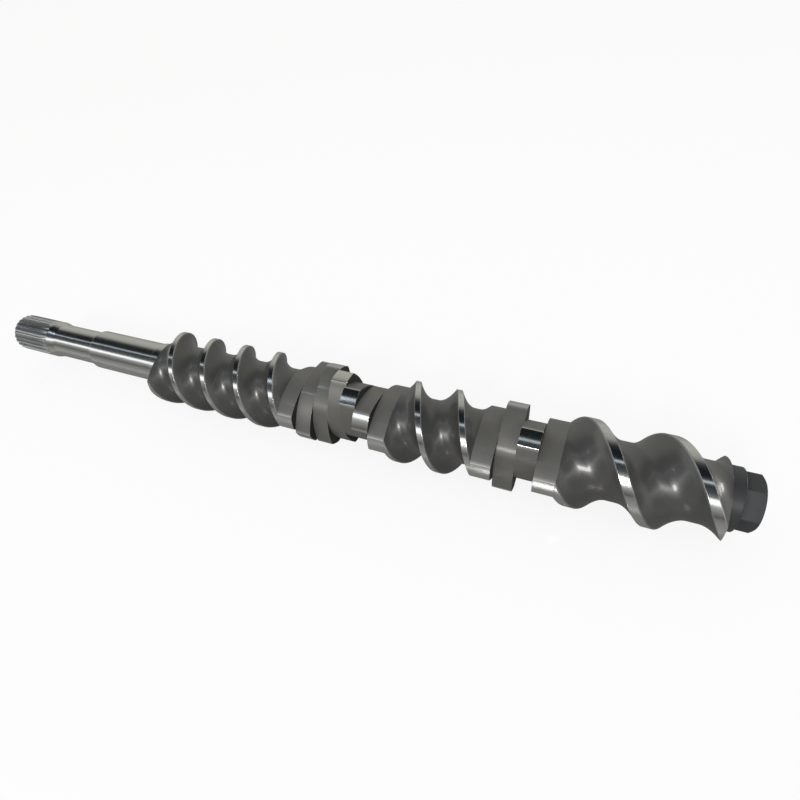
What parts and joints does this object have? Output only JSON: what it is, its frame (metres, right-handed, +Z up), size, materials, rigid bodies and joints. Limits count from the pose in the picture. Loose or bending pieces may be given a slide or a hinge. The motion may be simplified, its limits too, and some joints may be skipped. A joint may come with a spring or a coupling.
{
  "type": "extruder screw",
  "caption": "Co-rotating twin-screw extruder screw: splined shaft carrying two-lobe conveying flights and kneading discs, clamped by a washer and a hexagon bolt at the tip.",
  "frame": {"origin": "on the floor under the screw's axis, halfway along the overall length", "axes": "+X along the screw's axis from the drive spline to the tip bolt, +Z up; the axis is one tip radius (35.5 mm) above the floor"},
  "size_m": [0.715, 0.071, 0.071],
  "materials": {
    "shaft_steel": "ground and polished, duller on the spline",
    "element_steel": "satin grey nitrided flanks with ground tips",
    "kneading_steel": "satin grey with fine grinding marks and ground tips",
    "blackened_steel": "black oxide"
  },
  "bodies": {
    "root": {"screw_shaft": "shaft_steel", "conveying_element_1": "element_steel", "conveying_element_2": "element_steel", "kneading_block_1": "kneading_steel", "conveying_element_3": "element_steel", "kneading_block_2": "kneading_steel", "conveying_element_4": "element_steel", "clamp_washer": "blackened_steel", "tip_bolt": "blackened_steel"}
  },
  "joints": []
}
